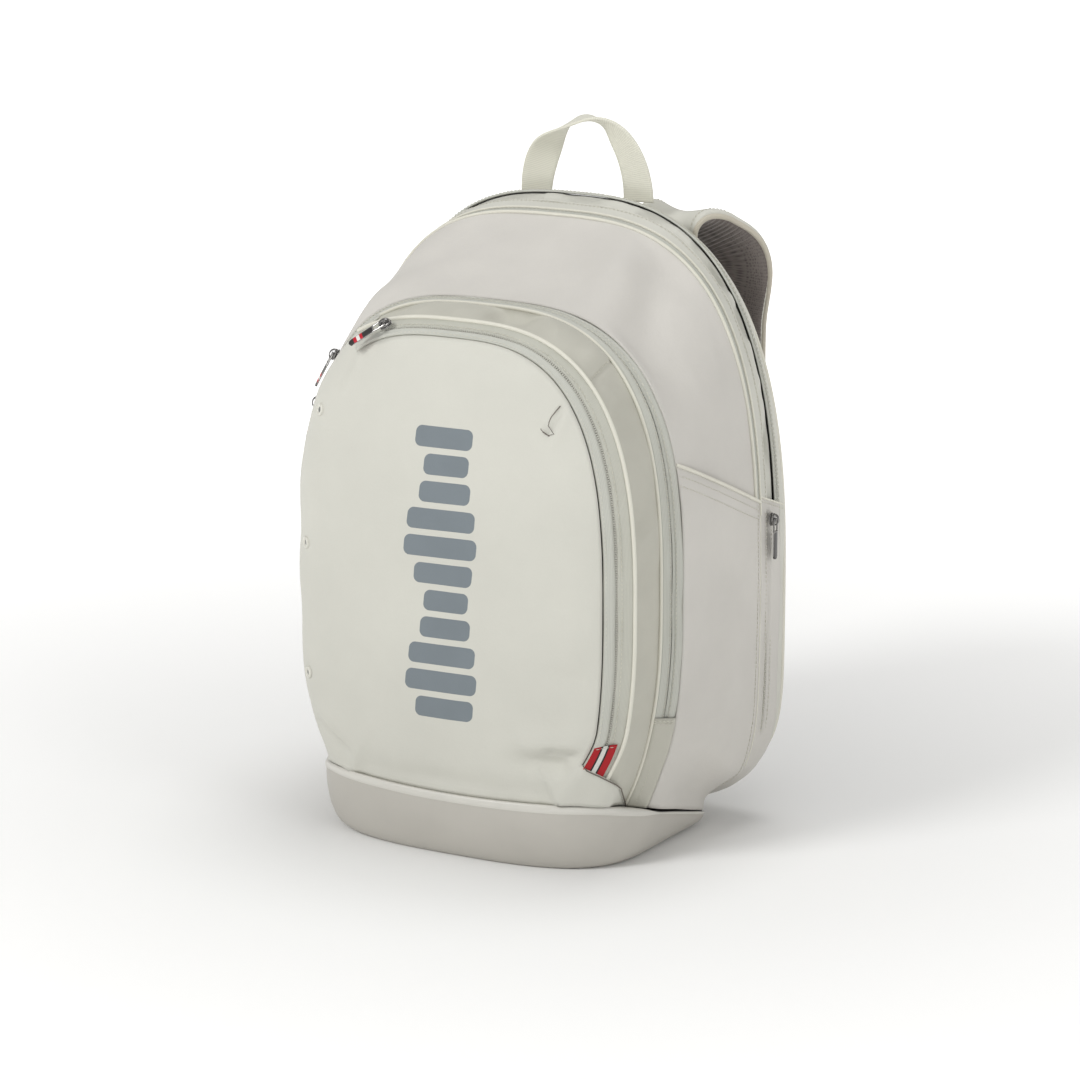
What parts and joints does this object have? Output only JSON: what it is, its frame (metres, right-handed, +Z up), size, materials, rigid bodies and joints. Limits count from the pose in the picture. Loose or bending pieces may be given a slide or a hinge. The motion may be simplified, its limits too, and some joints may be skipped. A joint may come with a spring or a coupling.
{
  "type": "racket backpack",
  "caption": "Zipped racket backpack with a domed front pocket, main and rear racket compartments, side pockets, a moulded base, padded shoulder straps and a haul handle.",
  "frame": {"origin": "on the flat underside of the moulded base, in the bag's middle plane, 24 mm behind the base's centre", "axes": "+Z up, the front pocket faces -Y, the wearer's back is at +Y, +X is the right side seen from the front"},
  "size_m": [0.3586, 0.2828, 0.5232],
  "materials": {
    "shell_fabric": "matt coated weave",
    "main_fabric": "matt coated weave",
    "moulded_base": "smooth satin moulding",
    "zip_tape": "woven tape",
    "lining": "plain lining",
    "air_mesh": "ribbed spacer mesh",
    "frame_board": "smooth sheet",
    "webbing": "ribbed webbing",
    "buckle_plastic": "fine matt",
    "eyelet": "satin",
    "ribbon": "woven stripes",
    "slider_metal": "dark nickel"
  },
  "bodies": {
    "bag": {"base_boot": "moulded_base", "main_side_right": "main_fabric", "main_side_left": "main_fabric", "side_pocket_right": "main_fabric", "side_pocket_left": "main_fabric", "second_zip_tape_rear": "zip_tape", "main_zip_tape": "zip_tape", "rear_gusset": "main_fabric", "rear_zip_tape": "zip_tape", "back_edge": "shell_fabric", "back_panel": "main_fabric", "frame_sheet": "frame_board", "back_pad_right": "air_mesh", "back_pad_left": "air_mesh", "lumbar_pad": "air_mesh", "racket_divider": "air_mesh", "front_divider": "lining", "inner_sleeve": "lining", "side_zip_tape_right": "zip_tape", "side_zip_tape_left": "zip_tape", "strap_anchor_right": "webbing", "strap_anchor_left": "webbing", "strap_root_right": "air_mesh", "strap_root_left": "air_mesh"},
    "main_flap": {"main_flap": "main_fabric"},
    "front_pocket": {"front_panel_lower": "shell_fabric", "front_zip_tape": "zip_tape", "front_gusset": "shell_fabric", "front_wrap": "shell_fabric", "second_zip_tape_front": "zip_tape", "front_pocket_back": "lining", "vent_eyelet_1": "eyelet", "vent_eyelet_2": "eyelet", "vent_eyelet_3": "eyelet", "ribbon_trim": "ribbon"},
    "front_panel": {"front_panel_upper": "shell_fabric"},
    "handle": {"haul_handle": "webbing"},
    "strap_right": {"shoulder_strap_right": "air_mesh", "ladder_lock_right": "buckle_plastic", "strap_webbing_right": "webbing"},
    "strap_left": {"shoulder_strap_left": "air_mesh", "ladder_lock_left": "buckle_plastic", "strap_webbing_left": "webbing"},
    "slider_front": {"slider_front": "slider_metal"},
    "puller_front": {"puller_front": "slider_metal"},
    "slider_second_upper": {"slider_second_upper": "slider_metal"},
    "puller_second_upper": {"puller_second_upper": "slider_metal"},
    "slider_second_lower": {"slider_second_lower": "slider_metal"},
    "puller_second_lower": {"puller_second_lower": "slider_metal"},
    "slider_main_upper": {"slider_main_upper": "slider_metal"},
    "puller_main_upper": {"puller_main_upper": "slider_metal"},
    "slider_main_lower": {"slider_main_lower": "slider_metal"},
    "puller_main_lower": {"puller_main_lower": "slider_metal"},
    "slider_rear": {"slider_rear": "slider_metal"},
    "puller_rear": {"puller_rear": "slider_metal"},
    "slider_side_right": {"slider_side_right": "slider_metal"},
    "puller_side_right": {"puller_side_right": "slider_metal"},
    "slider_side_left": {"slider_side_left": "slider_metal"},
    "puller_side_left": {"puller_side_left": "slider_metal"}
  },
  "joints": [
    {"name": "main_flap_hinge", "type": "hinge", "parent": "bag", "child": "main_flap", "pos_m": [0, -0.037, 0.412], "axis": [1, 0, 0], "range_deg": [0, 70]},
    {"name": "front_pocket_hinge", "type": "hinge", "parent": "bag", "child": "front_pocket", "pos_m": [0, -0.1125, 0.045], "axis": [1, 0, 0], "range_deg": [0, 50]},
    {"name": "front_panel_fold", "type": "hinge", "parent": "front_pocket", "child": "front_panel", "pos_m": [0.021, -0.1145, 0.234], "axis": [0.5489, 0, -0.8359], "range_deg": [0, 40]},
    {"name": "handle_fold", "type": "hinge", "parent": "bag", "child": "handle", "pos_m": [0, 0.108, 0.46], "axis": [1, 0, 0], "range_deg": [-20, 60], "stiffness_Nm_per_rad": 0.03},
    {"name": "strap_swing_right", "type": "hinge", "parent": "bag", "child": "strap_right", "pos_m": [0.0558, 0.11697, 0.43394], "axis": [-0.1956, 0.0119, 0.9806], "range_deg": [-5, 13], "stiffness_Nm_per_rad": 0.3},
    {"name": "strap_swing_left", "type": "hinge", "parent": "bag", "child": "strap_left", "pos_m": [-0.0558, 0.11697, 0.42399], "axis": [-0.2011, -0.0122, -0.9795], "range_deg": [-3, 8], "stiffness_Nm_per_rad": 0.3},
    {"name": "slide_front", "type": "hinge", "parent": "front_pocket", "child": "slider_front", "pos_m": [-0.00279, -0.094, 0.13172], "axis": [0, 1, 0], "range_deg": [0, 28]},
    {"name": "swing_front", "type": "hinge", "parent": "slider_front", "child": "puller_front", "pos_m": [-0.05594, -0.09968, 0.39405], "axis": [-0.6187, 0.6255, 0.4753], "range_deg": [0, 120]},
    {"name": "slide_second_upper", "type": "hinge", "parent": "bag", "child": "slider_second_upper", "pos_m": [-0.0366, -0.0452, 0.30114], "axis": [0, 1, 0], "range_deg": [0, 50]},
    {"name": "swing_second_upper", "type": "hinge", "parent": "slider_second_upper", "child": "puller_second_upper", "pos_m": [-0.13035, -0.04865, 0.35496], "axis": [-0.455, 0.85, 0.2656], "range_deg": [0, 140]},
    {"name": "slide_second_lower", "type": "slide", "parent": "bag", "child": "slider_second_lower", "axis": [-0.1163, 0, -0.9932], "range_m": [0, 0.092]},
    {"name": "swing_second_lower", "type": "hinge", "parent": "slider_second_lower", "child": "puller_second_lower", "pos_m": [-0.14552, -0.04905, 0.31741], "axis": [-0.5654, 0.8093, 0.1593], "range_deg": [0, 140]},
    {"name": "slide_main_upper", "type": "slide", "parent": "bag", "child": "slider_main_upper", "axis": [0.2687, 0, 0.9632], "range_m": [0, 0.035]},
    {"name": "swing_main_upper", "type": "hinge", "parent": "slider_main_upper", "child": "puller_main_upper", "pos_m": [-0.16589, 0.05773, 0.32901], "axis": [-0.0461, 0.9989, 0.0095], "range_deg": [0, 140]},
    {"name": "slide_main_lower", "type": "slide", "parent": "bag", "child": "slider_main_lower", "axis": [-0.0257, 0, -0.9997], "range_m": [0, 0.113]},
    {"name": "swing_main_lower", "type": "hinge", "parent": "slider_main_lower", "child": "puller_main_lower", "pos_m": [-0.17303, 0.05766, 0.27818], "axis": [-0.0595, 0.9982, 0.0052], "range_deg": [0, 140]},
    {"name": "slide_rear", "type": "slide", "parent": "bag", "child": "slider_rear", "axis": [-0.0639, 0, -0.998], "range_m": [0, 0.1]},
    {"name": "swing_rear", "type": "hinge", "parent": "slider_rear", "child": "puller_rear", "pos_m": [-0.17273, 0.0874, 0.3], "axis": [0, 1, 0], "range_deg": [0, 140]},
    {"name": "slide_side_right", "type": "slide", "parent": "bag", "child": "slider_side_right", "axis": [0, 0, -1], "range_m": [0, 0.13]},
    {"name": "swing_side_right", "type": "hinge", "parent": "slider_side_right", "child": "puller_side_right", "pos_m": [0.17723, 0.0733, 0.238], "axis": [0, -1, 0], "range_deg": [0, 140]},
    {"name": "slide_side_left", "type": "slide", "parent": "bag", "child": "slider_side_left", "axis": [0, 0, -1], "range_m": [0, 0.13]},
    {"name": "swing_side_left", "type": "hinge", "parent": "slider_side_left", "child": "puller_side_left", "pos_m": [-0.17723, 0.0733, 0.238], "axis": [0, 1, 0], "range_deg": [0, 140]}
  ]
}
